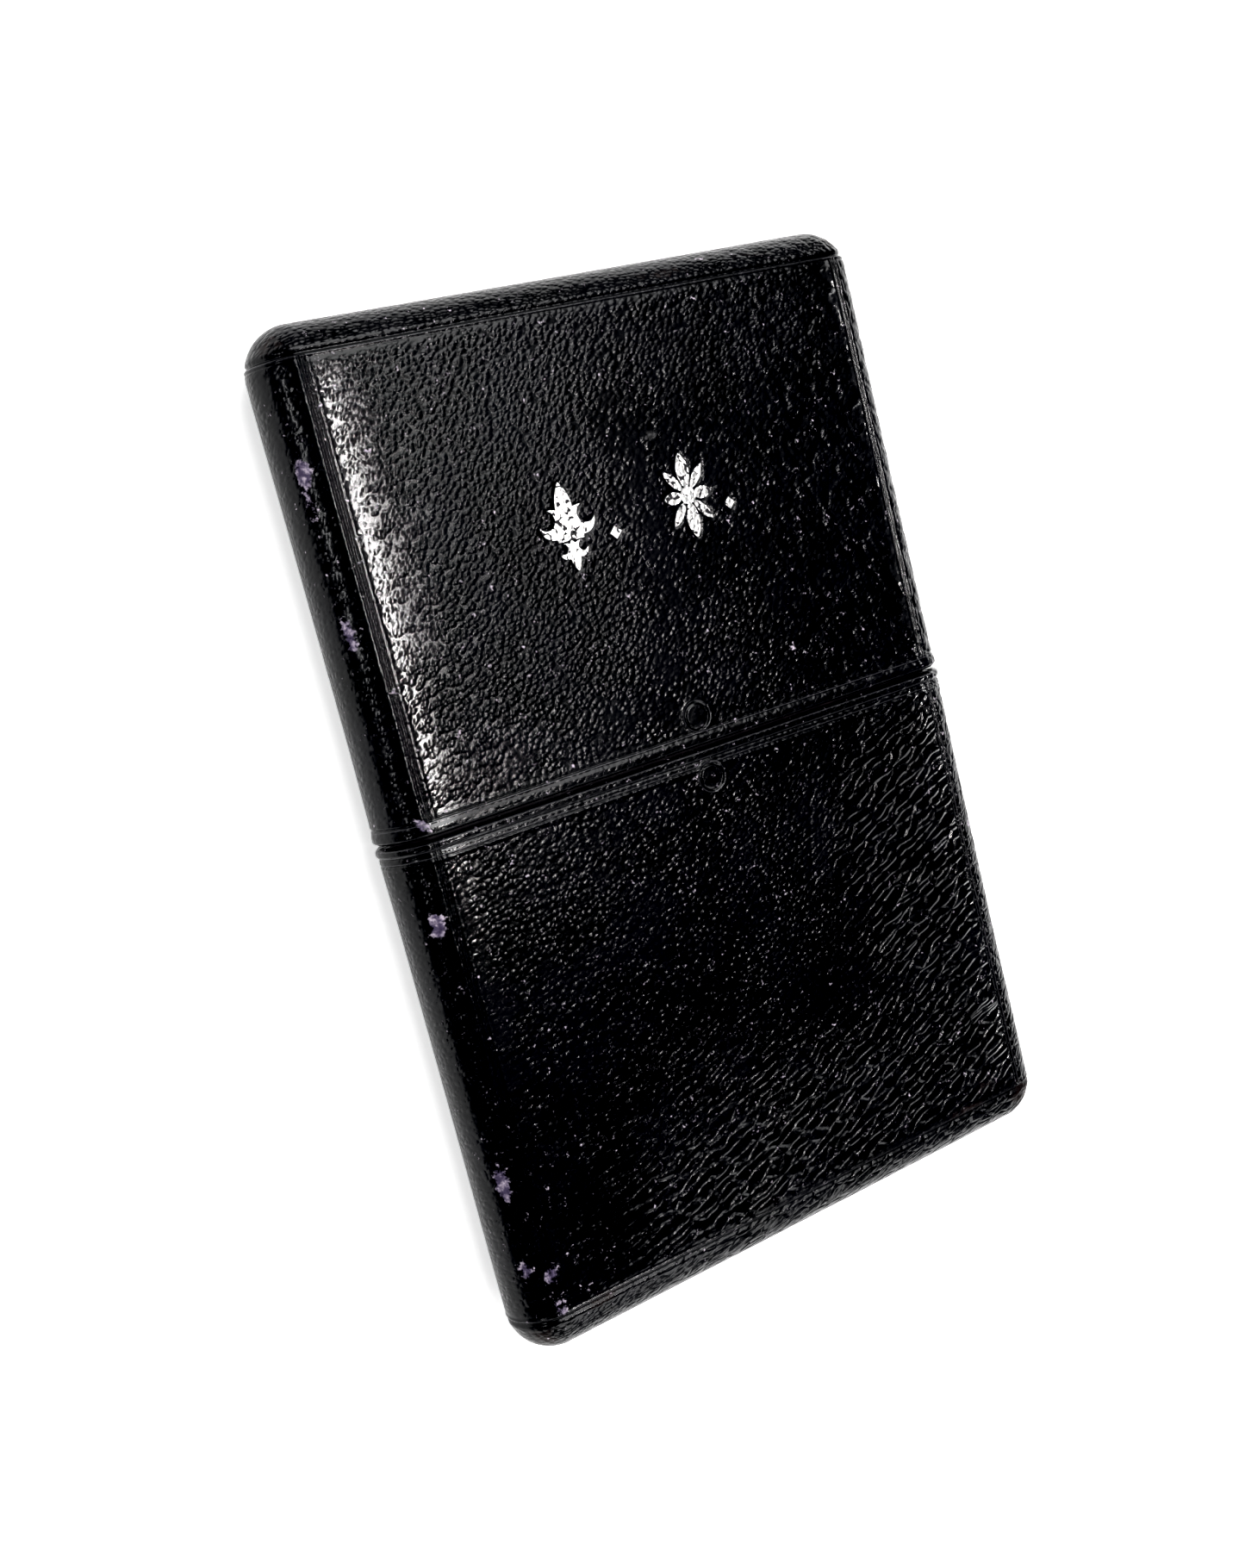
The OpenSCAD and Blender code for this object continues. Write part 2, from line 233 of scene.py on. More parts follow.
def spaced(lo, hi, step, fine):
    """breakpoints from lo to hi, at step, or finer in the ranges of fine"""
    out, v = [lo], lo
    while v < hi - 1e-6:
        st = step
        for (f0, f1, fs) in fine:
            if f0 - st*0.5 <= v < f1:
                st = min(st, fs)
        v = v + st
        out.append(v)
    out = np.array(out); out = lo + (out - lo)*(hi - lo)/(out[-1] - lo)
    return out

# ------------------------------------------------------------------ mesh helpers
def make_mesh(name, verts, faces, smooth_shade=True):
    me = bpy.data.meshes.new(name)
    me.from_pydata([tuple(v) for v in verts], [], faces)
    me.update()
    if smooth_shade:
        me.polygons.foreach_set("use_smooth", np.ones(len(me.polygons), bool))
    ob = bpy.data.objects.new(name, me)
    bpy.context.scene.collection.objects.link(ob)
    return ob

def fast_mesh(name, V, quads, tris):
    """V in metres; quads and tris as integer arrays"""
    me = bpy.data.meshes.new(name)
    nq, nt = len(quads), len(tris)
    me.vertices.add(len(V)); me.vertices.foreach_set("co", np.asarray(V, np.float32).ravel())
    loops = np.concatenate([quads.ravel(), tris.ravel()]).astype(np.int32)
    me.loops.add(len(loops)); me.loops.foreach_set("vertex_index", loops)
    starts = np.concatenate([np.arange(nq)*4, nq*4 + np.arange(nt)*3]).astype(np.int32)
    me.polygons.add(nq + nt); me.polygons.foreach_set("loop_start", starts)
    me.polygons.foreach_set("use_smooth", np.ones(nq + nt, bool))
    me.update(calc_edges=True); me.validate()
    ob = bpy.data.objects.new(name, me)
    bpy.context.scene.collection.objects.link(ob)
    return ob

def grid_quads(idx, flip):
    a, b, c, d = idx[:-1, :-1], idx[:-1, 1:], idx[1:, 1:], idx[1:, :-1]
    q = np.stack([a, b, c, d], -1).reshape(-1, 4)
    return q[:, ::-1] if flip else q

def zipped(A, B, V, flip):
    """triangles between two polylines of vertex indices that run alongside"""
    def par(I):
        d = np.linalg.norm(np.diff(V[I], axis=0), axis=1)
        t = np.concatenate([[0], np.cumsum(d)]); return t/t[-1]
    ta, tb = par(A), par(B)
    i = j = 0; out = []
    while i < len(A) - 1 or j < len(B) - 1:
        if j == len(B) - 1 or (i < len(A) - 1 and ta[i+1] <= tb[j+1]):
            out.append((A[i], A[i+1], B[j])); i += 1
        else:
            out.append((A[i], B[j+1], B[j])); j += 1
    out = np.array(out)
    return out[:, ::-1] if flip else out

def shell(name, cap):
    sgn = 1 if cap else -1
    mouth = MOUTH_HI if cap else MOUTH_LO
    inner = I_CAP_IN if cap else I_NECK
    eta_end = YC - sgn*mouth + ARC                       # arc length from mouth to equator
    # the rim: (eta, offset from the outer surface)
    rim = [(0.55, -inner + 0.0), (0.3, -inner + 0.02), (0.12, -inner + 0.08), (0.03, -inner + 0.2),
           (0.0, -inner + 0.4), (0.0, -0.9), (0.0, -0.6), (0.015, -0.42), (0.05, -0.31), (0.11, -0.235),
           (0.18, -0.18), (0.25, -0.135), (0.32, -0.09), (0.39, -0.05)]
    head = YC - sgn*mouth + 1.0
    ring_eta = abs(RINGS[0][1] - mouth) if cap else abs(RINGS[1][1] - mouth)
    fine_rows = [(0.3, 2.6, 0.06), (ring_eta - 2.4, ring_eta + 2.4, 0.11), (head - 0.9, head + 2.4, 0.11)]
    rows_f = spaced(0.45, eta_end, 0.27, fine_rows)
    cols_f = spaced(0, XC + ARC, 0.27, [(35.6, 37.5, 0.085)])
    cols_f = np.concatenate([-cols_f[::-1][:-1], cols_f])
    cols_f = np.unique(np.concatenate([cols_f, np.arange(-1.7, 3.1, 0.11)]))
    keep = np.concatenate([[True], np.diff(cols_f) > 0.045]); cols_f = cols_f[keep]
    step = 0.75
    rows_b = spaced(0.45, eta_end - 0.45, step, [(0.3, 2.9, 0.12), (head - 0.9, head + 2.2, 0.2)])
    cols_b = spaced(0, XC + ARC - 0.45, step, [(35.6, 37.5, 0.12)])
    cols_b = np.concatenate([-cols_b[::-1][:-1], cols_b])
    V, info, quads, tris = [], [], [], []
    base = 0
    edges = {}
    for side, rows, cols in ((1, rows_f, cols_f), (-1, rows_b, cols_b)):
        eta = np.concatenate([[e for e, _ in rim], rows])
        off = np.concatenate([[o for _, o in rim], np.zeros(len(rows))])
        E, A = np.meshgrid(eta, cols, indexing="ij")
        O = np.repeat(off[:, None], len(cols), 1).ravel()
        e, a = E.ravel(), A.ravel()
        b = mouth + sgn*e
        b = np.where(sgn*b > YC, b, b)
        c, n = form(a, b, side)
        P0 = c + n*R0
        h, flat, low, right, edge = relief(P0, n, e, cap)
        rimmed = np.arange(len(e)) < len(rim)*len(cols)
        # rim rows take the lip's height where they leave it, and none inside
        lipw = np.where(rimmed, smooth(-0.9, -0.05, O), 1.0)
        h = h*lipw
        if cap and side > 0:
            dist = ornament_distance(P0, n)
            press = 1 - smooth(0.05, 0.4, dist)
            h = h*(1 - press) - 0.07*press
            flat = np.maximum(flat, press)
        Pm = c + n*(R0 + O + h)[:, None]
        idx = base + np.arange(len(e)).reshape(E.shape)
        V.append(Pm); info.append(np.stack([flat, low, right, e, a, b, edge*(O > -0.12)], 1))
        quads.append(grid_quads(idx, sgn*side < 0))
        edges[side] = np.concatenate([idx[:, 0], idx[-1, 1:], idx[:-1, -1][::-1]])
        edges[(side, "in")] = idx[0]
        base += len(e)
    # inner skin, coarse, so that the leather is one closed solid
    ins = 0.55
    rows_i = spaced(0.6, eta_end - 1.0, 3.0, [(eta_end - 9, eta_end, 1.4)])
    cols_i = spaced(0, XC + ARC - 1.0, 4.0, [(34.0, 45.0, 1.3)])
    cols_i = np.concatenate([-cols_i[::-1][:-1], cols_i])
    for side in (1, -1):
        E, A = np.meshgrid(rows_i, cols_i, indexing="ij")
        e, a = E.ravel(), A.ravel()
        c, n = form(a, mouth + sgn*e, side)
        Pm = c + n*(R0 - ins - 0.15)
        idx = base + np.arange(len(e)).reshape(E.shape)
        V.append(Pm); info.append(np.stack([np.ones(len(e)), 0*e, 0*e, e, a, mouth + sgn*e, 0*e], 1))
        quads.append(grid_quads(idx, sgn*side > 0))
        edges[(side, "skin")] = np.concatenate([idx[:, 0], idx[-1, 1:], idx[:-1, -1][::-1]])
        edges[(side, "skin_in")] = idx[0]
        base += len(e)
    V = np.concatenate(V); info = np.concatenate(info)
    tris.append(zipped(edges[1], edges[-1], V, sgn < 0))
    tris.append(zipped(edges[(1, "skin")], edges[(-1, "skin")], V, sgn > 0))
    # join the rim's inner edge to the inner skin, all round the mouth
    outer = np.concatenate([edges[(1, "in")], edges[(-1, "in")][::-1], edges[(1, "in")][:1]])
    skin = np.concatenate([edges[(1, "skin_in")], edges[(-1, "skin_in")][::-1], edges[(1, "skin_in")][:1]])
    tris.append(zipped(outer, skin, V, sgn < 0))
    ob = fast_mesh(name, V/1000.0, np.concatenate(quads), np.concatenate(tris))
    return ob, V, info

def vattribute(ob, name, values):
    at = ob.data.attributes.new(name, "FLOAT_VECTOR", "POINT")
    at.data.foreach_set("vector", np.asarray(values, np.float32).ravel())

def attribute(ob, name, values):
    at = ob.data.attributes.new(name, "FLOAT", "POINT")
    at.data.foreach_set("value", np.asarray(values, np.float32))

# scuffs and wear: (x, y, z, radius across, radius along, strength)
def box_mask(P, x0, x1, y0, y1, soft, seed):
    w = soft*1.2*vnoise(P, 1/9.0, seed) + soft*0.5*vnoise(P, 1/3.0, seed + 1)
    x, y = P[:, 0] + w, P[:, 1] + w*0.7
    return (smooth(x0 - soft, x0 + soft, x)*(1 - smooth(x1 - soft, x1 + soft, x))
            * smooth(y0 - soft, y0 + soft, y)*(1 - smooth(y1 - soft, y1 + soft, y)))

def surface_masks(P):
    """matte: dulled by handling; band: rubbed flat beside the long creases"""
    front = smooth(2.0, 8.0, P[:, 2])
    matte = box_mask(P, -32, -5, 12, 70, 3.5, 101)
    matte = np.maximum(matte, 0.55*box_mask(P, -8, 34, 44, 70, 4.0, 104))
    matte = np.maximum(matte, 0.50*box_mask(P, 3, 18, 5, 20, 3.0, 107))
    matte = np.maximum(matte, 0.50*box_mask(P, 0, 15, -30, -5, 3.5, 110))
    matte = np.maximum(matte, 0.45*box_mask(P, -20, 40, -75, -34, 5.0, 113))
    ends = smooth(56.0, 59.0, np.abs(P[:, 1]))
    matte = np.maximum(matte, 0.9*ends)
    matte = np.maximum(matte*front, 0.8*(1 - front))
    band = gauss(np.abs(P[:, 0]) - 35.2, 2.2)*smooth(10.0, 10.9, P[:, 2])*(1 - smooth(52, 57, np.abs(P[:, 1])))
    return matte, band

LILAC = [(-39.2, 44.6, 9.5, 0.9, 1.7, 1.0), (-39.3, 42.0, 9.2, 0.7, 3.4, 0.45), (-39.2, 26.5, 9.6, 0.9, 2.2, 0.8),
         (-37.3, 4.2, 10.7, 0.9, 1.2, 0.7), (-38.5, -7.1, 10.1, 0.9, 1.6, 1.0), (-39.1, -38.4, 9.7, 1.0, 2.4, 1.0),
         (-39.1, -49.2, 9.7, 0.8, 1.2, 0.8), (-36.6, -50.5, 10.9, 1.0, 1.4, 0.8), (-36.7, -54.8, 10.9, 1.0, 1.6, 0.55),
         (39.6, 30.0, 8.9, 0.7, 2.4, 0.5), (38.9, -20.0, 9.8, 0.6, 1.8, 0.45), (-40.3, 12.0, 4.0, 0.9, 3.0, 0.5)]
BROWN = [(30.2, -53.4, 11.0, 3.2, 1.6, 0.6), (26.5, -55.6, 11.0, 4.0, 0.8, 0.8), (37.0, -56.8, 9.6, 3.0, 2.4, 1.0),
         (11.1, 58.6, 10.0, 5.0, 0.9, 0.7), (24.0, 58.9, 9.8, 4.0, 0.9, 0.5), (-31.0, -56.0, 11.0, 3.4, 1.1, 0.8),
         (-38.5, -58.0, 8.5, 2.6, 2.4, 0.9), (-38.5, 58.4, 8.5, 2.6, 2.2, 0.7), (38.5, 58.4, 8.5, 2.6, 2.2, 0.8),
         (-39.0, -58.0, 2.4, 3.0, 2.6, 0.9), (39.0, 58.0, 2.4, 3.0, 2.6, 0.8), (39.0, -58.0, 2.4, 3.0, 2.6, 0.9),
         (0.0, -60.2, 6.0, 16.0, 0.9, 0.5)]
GREY = [(3.8, 40.3, 11.0, 1.5, 0.7, 0.9), (30.0, 13.8, 11.0, 0.9, 1.0, 0.5), (-20.6, 34.0, 11.0, 0.9, 0.7, 0.5),
        (8.0, -22.0, 11.0, 2.5, 1.4, 0.25)]

def blobs(P, spots):
    out = np.zeros(len(P))
    for (x, y, z, rx, ry, k) in spots:
        d = np.sqrt(((P[:, 0]-x)/(1.25*rx))**2 + ((P[:, 1]-y)/(1.2*ry))**2 + ((P[:, 2]-z)/max(rx, 1.2))**2)
        out = np.maximum(out, k*(1 - smooth(0.2, 1.25, d)))
    return out

# ------------------------------------------------------------------ shader helpers
class Nodes:
    def __init__(self, name):
        self.m = bpy.data.materials.new(name)
        self.m.use_nodes = True
        self.t = self.m.node_tree
        self.t.nodes.clear()
        self.out = self.t.nodes.new("ShaderNodeOutputMaterial")
        self.bsdf = self.t.nodes.new("ShaderNodeBsdfPrincipled")
        self.t.links.new(self.bsdf.outputs[0], self.out.inputs[0])
        self._co = None
    def new(self, kind, **kw):
        n = self.t.nodes.new(kind)
        for k, v in kw.items():
            setattr(n, k, v)
        return n
    def link(self, a, b):
        self.t.links.new(a, b)
    def put(self, sock, v):
        if isinstance(v, bpy.types.NodeSocket):
            self.link(v, sock)
        else:
            sock.default_value = v
    def mm(self):
        """object coordinates in millimetres"""
        if self._co is None:
            tc = self.new("ShaderNodeTexCoord")
            s = self.new("ShaderNodeVectorMath", operation="SCALE")
            self.link(tc.outputs["Object"], s.inputs[0]); s.inputs["Scale"].default_value = 1000.0
            self._co = s.outputs[0]
        return self._co
    def math(self, op, a, b=None, c=None, clamp=False):
        n = self.new("ShaderNodeMath", operation=op, use_clamp=clamp)
        self.put(n.inputs[0], a)
        if b is not None: self.put(n.inputs[1], b)
        if c is not None: self.put(n.inputs[2], c)
        return n.outputs[0]
    def vmath(self, op, a, b=None, scale=None):
        n = self.new("ShaderNodeVectorMath", operation=op)
        self.put(n.inputs[0], a)
        if b is not None: self.put(n.inputs[1], b)
        if scale is not None: n.inputs["Scale"].default_value = scale
        return n.outputs[0]
    def mapping(self, co, rot=(0, 0, 0), scale=(1, 1, 1), loc=(0, 0, 0)):
        n = self.new("ShaderNodeMapping")
        self.link(co, n.inputs[0])
        n.inputs["Location"].default_value = loc
        n.inputs["Rotation"].default_value = [math.radians(r) for r in rot]
        n.inputs["Scale"].default_value = scale
        return n.outputs[0]
    def grainwise(self, co, angle, along, across):
        """coordinates for a pattern drawn out along an angle, with cells of about these sizes in mm"""
        n = self.new("ShaderNodeMapping", vector_type="TEXTURE")
        self.link(co, n.inputs[0])
        n.inputs["Rotation"].default_value = (0, 0, math.radians(angle))
        n.inputs["Scale"].default_value = (along, across, 1.0)
        return n.outputs[0]
    def noise(self, co, scale, detail=2.0, rough=0.5, out="Fac", dist=0.0):
        n = self.new("ShaderNodeTexNoise")
        self.link(co, n.inputs["Vector"])
        n.inputs["Scale"].default_value = scale
        n.inputs["Detail"].default_value = detail
        n.inputs["Roughness"].default_value = rough
        n.inputs["Distortion"].default_value = dist
        return n.outputs[out]
    def voronoi(self, co, scale, feature="F1", smooth=0.3, rand=1.0, out="Distance", dims="3D"):
        n = self.new("ShaderNodeTexVoronoi", feature=feature, voronoi_dimensions=dims)
        self.link(co, n.inputs["Vector"])
        n.inputs["Scale"].default_value = scale
        n.inputs["Randomness"].default_value = rand
        if feature == "SMOOTH_F1": n.inputs["Smoothness"].default_value = smooth
        return n.outputs[out]
    def wave(self, co, scale, direction="X", dist=0.0, detail=1.0, profile="SIN", kind="BANDS"):
        n = self.new("ShaderNodeTexWave", wave_type=kind, bands_direction=direction, wave_profile=profile)
        self.link(co, n.inputs["Vector"])
        n.inputs["Scale"].default_value = scale
        n.inputs["Distortion"].default_value = dist
        n.inputs["Detail"].default_value = detail
        return n.outputs["Fac"]
    def ramp(self, fac, stops, interp="LINEAR"):
        n = self.new("ShaderNodeValToRGB")
        n.color_ramp.interpolation = interp
        e = n.color_ramp.elements
        while len(e) > 1: e.remove(e[0])
        e[0].position, e[0].color = stops[0][0], tuple(stops[0][1]) + (1,)
        for p, c in stops[1:]:
            k = e.new(p); k.color = tuple(c) + (1,)
        self.link(fac, n.inputs[0])
        return n.outputs[0]
    def range(self, v, a, b, c=0.0, d=1.0, kind="SMOOTHSTEP"):
        n = self.new("ShaderNodeMapRange", interpolation_type=kind, clamp=True) if kind == "LINEAR" else self.new("ShaderNodeMapRange", interpolation_type=kind)
        self.link(v, n.inputs["Value"])
        for k, x in zip(("From Min", "From Max", "To Min", "To Max"), (a, b, c, d)):
            n.inputs[k].default_value = x
        return n.outputs["Result"]
    def mix(self, fac, a, b, blend="MIX"):
        n = self.new("ShaderNodeMix", data_type="RGBA", blend_type=blend)
        self.put(n.inputs["Factor"], fac)
        for nm, v in (("A", a), ("B", b)):
            s = [i for i in n.inputs if i.name == nm and i.type == "RGBA"][0]
            self.put(s, v if isinstance(v, bpy.types.NodeSocket) else tuple(v) + (1,))
        return [o for o in n.outputs if o.type == "RGBA"][0]
    def mixf(self, fac, a, b):
        n = self.new("ShaderNodeMix", data_type="FLOAT")
        self.put(n.inputs["Factor"], fac)
        ins = [i for i in n.inputs if i.type == "VALUE" and i.name in ("A", "B")]
        self.put(ins[0], a); self.put(ins[1], b)
        return [o for o in n.outputs if o.type == "VALUE"][0]
    def attr(self, name):
        n = self.new("ShaderNodeAttribute", attribute_type="GEOMETRY", attribute_name=name)
        return n.outputs["Fac"]
    def vattr(self, name):
        n = self.new("ShaderNodeAttribute", attribute_type="GEOMETRY", attribute_name=name)
        return n.outputs["Vector"]
    def bump(self, height_mm, strength=1.0, normal=None):
        n = self.new("ShaderNodeBump")
        n.inputs["Strength"].default_value = strength
        n.inputs["Distance"].default_value = 0.001
        self.link(height_mm, n.inputs["Height"])
        if normal is not None: self.link(normal, n.inputs["Normal"])
        return n.outputs[0]
    def set(self, **kw):
        for k, v in kw.items():
            s = self.bsdf.inputs[k.replace("_", " ")]
            if isinstance(v, bpy.types.NodeSocket): self.link(v, s)
            elif isinstance(v, (tuple, list)) and len(v) == 3 and s.type == "RGBA": s.default_value = tuple(v) + (1,)
            else: s.default_value = v

def warp(n, co, scale, amount, detail=2.0):
    """coordinates pushed about by noise, amount in mm"""
    c = n.noise(co, scale, detail, 0.5, "Color")
    c = n.vmath("SUBTRACT", c, (0.5, 0.5, 0.5))
    c = n.vmath("SCALE", c, scale=amount*2)
    return n.vmath("ADD", co, c)

# ------------------------------------------------------------------ goatskin
def goatskin(name):
    n = Nodes(name)
    co = n.mm()
    hide = n.vattr("hide")
    flat, low, matte, band = n.attr("flat"), n.attr("low"), n.attr("matte"), n.attr("band")
    wco = warp(n, hide, 0.8, 0.20, 1.0)
    # hard-grained pebbles, drawn out along a slant: round tops, sharp valleys
    v = n.new("ShaderNodeTexVoronoi", feature="F1", voronoi_dimensions="2D")
    n.link(n.grainwise(wco, 22, 0.84, 0.60), v.inputs["Vector"]); v.inputs["Scale"].default_value = 1.0
    d, rnd = v.outputs["Distance"], n.new("ShaderNodeSeparateColor")
    n.link(v.outputs["Color"], rnd.inputs[0]); rnd = rnd.outputs[0]
    dome = n.math("SUBTRACT", 1.0, n.math("MULTIPLY", d, n.math("MULTIPLY", d, 1.8)), clamp=True)
    dome = n.math("MULTIPLY", dome, dome)
    # folds of the slacker skin
    w2 = warp(n, hide, 0.33, 0.75, 1.0)
    e = n.voronoi(n.grainwise(w2, 19, 2.9, 1.12), 1.0, "DISTANCE_TO_EDGE", dims="2D")
    fold = n.range(e, 0.0, 0.20, kind="LINEAR")
    micro = n.noise(co, 5.5, 2.0, 0.6)
    # glossy parts are nearly flat, with a few stout grains; dull parts are grained all over
    sparse = n.math("MULTIPLY_ADD", n.math("POWER", rnd, 2.0), 0.050, 0.0115)
    soft = n.math("ADD", matte, n.math("MULTIPLY", n.math("SUBTRACT", n.noise(co, 0.30, 2.0, 0.6), 0.5), 0.35), clamp=True)
    amp = n.mixf(soft, sparse, n.math("MULTIPLY_ADD", rnd, 0.028, 0.046))
    amp = n.math("MULTIPLY", amp, n.range(band, 0.0, 1.0, 1.0, 0.55, "LINEAR"))
    amp = n.math("MULTIPLY", amp, n.range(flat, 0.0, 1.0, 1.0, 0.25, "LINEAR"))
    amp = n.math("MULTIPLY", amp, n.range(low, 0.0, 1.0, 1.0, 0.35, "LINEAR"))
    h = n.math("MULTIPLY", dome, amp)
    amp2 = n.math("MULTIPLY", low, n.range(flat, 0.0, 1.0, 0.108, 0.010, "LINEAR"))
    h = n.math("MULTIPLY_ADD", fold, amp2, h)
    h = n.math("MULTIPLY_ADD", micro, n.math("MULTIPLY_ADD", low, 0.004, 0.0016), h)
    # colour: jet black, faintly violet, greyer on the worn tops
    top = n.range(dome, 0.45, 0.95)
    tone = n.noise(co, 0.12, 2.0, 0.6)
    col = n.mix(n.range(tone, 0.35, 0.65), (0.0012, 0.0011, 0.0018), (0.0020, 0.0018, 0.0046))
    col = n.mix(n.math("MULTIPLY", top, 0.30), col, (0.008, 0.0076, 0.0105))
    rough = n.mixf(soft, 0.175, 0.20)
    rough = n.math("MULTIPLY_ADD", n.math("SUBTRACT", tone, 0.5), 0.08, rough)
    rough = n.mixf(n.math("MULTIPLY", band, 0.9), rough, 0.165)
    brk = n.noise(co, 1.05, 3.0, 0.68)
    off = n.math("SUBTRACT", brk, 0.55)
    brown = n.range(n.math("ADD", n.attr("brown"), n.math("MULTIPLY", off, 1.8)), 0.35, 0.95)
    col = n.mix(n.math("MULTIPLY", brown, 0.75), col, (0.022, 0.0095, 0.0075))
    lil = n.range(n.math("ADD", n.attr("lilac"), n.math("MULTIPLY", off, 2.6)), 0.26, 0.55)
    lcol = n.mix(n.range(brk, 0.45, 0.75), (0.10, 0.08, 0.14), (0.62, 0.56, 0.63))
    col = n.mix(lil, col, lcol)
    gry = n.range(n.math("ADD", n.attr("grey"), n.math("MULTIPLY", off, 3.0)), 0.4, 0.9)
    col = n.mix(n.math("MULTIPLY", gry, n.math("MULTIPLY_ADD", top, 0.5, 0.1)), col, (0.15, 0.148, 0.15))
    # painted highlight: the thin crests beside the creases, seam lines and rings are painted a lighter grey in place
    # of light catching their edges; partly also rubbed wear on those crests
    edg = n.range(n.math("ADD", n.attr("edge"), n.math("MULTIPLY", off, 1.3)), 0.35, 0.85)
    col = n.mix(n.math("MULTIPLY", edg, 0.75), col, (0.085, 0.083, 0.090))
    worn = n.math("MAXIMUM", lil, n.math("MAXIMUM", n.math("MULTIPLY", brown, 0.5), gry))
    rough = n.mixf(n.math("MULTIPLY", worn, 0.8), rough, 0.60)
    rough = n.mixf(n.math("MULTIPLY", flat, 0.5), rough, 0.21)
    n.set(Base_Color=col, Roughness=rough, IOR=1.5, Specular_IOR_Level=n.range(band, 0.0, 1.0, 0.42, 1.0, "LINEAR"))
    n.set(Normal=n.bump(h))
    return n.m

MAT = {}
MAT["case"] = goatskin("case_goatskin")

# ------------------------------------------------------------------ case halves
for cap in (True, False):
    nm = "cap_leather_skin" if cap else "lower_leather_skin"
    ob, V, info = shell(nm, cap)
    # the crest mask stored here carries the painted edge highlight to the shader
    attribute(ob, "flat", info[:, 0]); attribute(ob, "low", info[:, 1]); attribute(ob, "edge", info[:, 6])
    # the hide's own coordinates, mm, laid out flat, so that grain runs over the rolls unbroken
    vattribute(ob, "hide", np.stack([info[:, 4], info[:, 5], np.zeros(len(info))], 1))
    matte, band = surface_masks(V)
    attribute(ob, "matte", matte); attribute(ob, "band", band)
    attribute(ob, "lilac", blobs(V, LILAC)); attribute(ob, "brown", blobs(V, BROWN)); attribute(ob, "grey", blobs(V, GREY))
    ob.data.materials.append(MAT["case"])
    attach(ob, "cap" if cap else "lower_case")
    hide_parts("cap_leather" if cap else "lower_leather")

# ------------------------------------------------------------------ silver
def silver():
    n = Nodes("silver_foil")
    co = n.mm()
    w = warp(n, co, 2.0, 0.12)
    v = n.voronoi(w, 1.6, "SMOOTH_F1", 0.25)
    h = n.math("MULTIPLY", n.range(v, 0.0, 0.6, 1.0, 0.0), 0.030)
    h = n.math("MULTIPLY_ADD", n.noise(co, 5.0, 3.0), 0.012, h)
    gap = n.range(n.math("ADD", n.voronoi(w, 1.6, "SMOOTH_F1", 0.25), n.math("MULTIPLY", n.noise(co, 3.0, 3.0), 0.35)), 0.80, 0.90)
    col = n.mix(n.noise(co, 1.3, 2.0), (0.80, 0.79, 0.77), (0.95, 0.95, 0.96))
    col = n.mix(gap, col, (0.02, 0.018, 0.022))
    n.set(Base_Color=col, Metallic=n.math("SUBTRACT", 1.0, gap), Roughness=n.mixf(gap, 0.34, 0.5))
    n.set(Normal=n.bump(h))
    return n.m
MAT["silver"] = silver()
for k in ("left_ornament", "right_ornament", "ornament_dots"):
    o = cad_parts[k]; o.data.materials.clear(); o.data.materials.append(MAT["silver"])

# ------------------------------------------------------------------ inside materials
def weave(n, co, px, py, depth):
    """plain weave height, mm, from two thread directions"""
    sx = n.new("ShaderNodeSeparateXYZ"); n.link(co, sx.inputs[0])
    a = n.math("SINE", n.math("MULTIPLY", sx.outputs[0], 2*math.pi/px))
    b = n.math("SINE", n.math("MULTIPLY", sx.outputs[1], 2*math.pi/py))
    return n.math("MULTIPLY", n.math("MULTIPLY", a, b), depth), a, b

def pasteboard():
    n = Nodes("pasteboard"); co = n.mm()
    f = n.noise(n.mapping(co, scale=(1, 1, 6)), 1.4, 4.0, 0.65)
    fib = n.noise(n.mapping(co, rot=(0, 0, 30), scale=(0.5, 4, 4)), 2.0, 3.0, 0.6)
    n.set(Base_Color=n.mix(f, (0.21, 0.165, 0.11), (0.36, 0.30, 0.22)), Roughness=0.88)
    n.set(Normal=n.bump(n.math("MULTIPLY_ADD", fib, 0.03, n.math("MULTIPLY", f, 0.04))))
    return n.m

def skiver():
    n = Nodes("neck_skiver"); co = n.mm()
    w = warp(n, co, 1.2, 0.2)
    v = n.voronoi(w, 2.1)
    d = n.math("SUBTRACT", 1.0, n.math("MULTIPLY", v, v))
    rub = n.range(n.noise(co, 0.22, 4.0, 0.7), 0.52, 0.72)
    col = n.mix(rub, (0.020, 0.0105, 0.018), (0.075, 0.042, 0.055))
    n.set(Base_Color=col, Roughness=n.mixf(rub, 0.36, 0.62), Normal=n.bump(n.math("MULTIPLY", d, 0.022)))
    return n.m

def silk():
    n = Nodes("lining_silk"); co = n.mm()
    h, a, b = weave(n, co, 0.30, 0.24, 0.010)
    m = n.noise(n.mapping(co, scale=(0.10, 1.1, 0.6)), 0.9, 3.0, 0.5, dist=0.7)
    col = n.mix(n.range(m, 0.38, 0.62), (0.055, 0.020, 0.075), (0.16, 0.075, 0.20))
    n.set(Base_Color=col, Roughness=n.mixf(m, 0.33, 0.55), Sheen_Weight=0.5, Sheen_Roughness=0.4)
    n.set(Normal=n.bump(h))
    return n.m

def gold_on(n, base, mask, worn):
    k = n.math("MULTIPLY", mask, n.range(worn, 0.30, 0.42))
    return k, n.mix(k, base, (0.83, 0.58, 0.24))

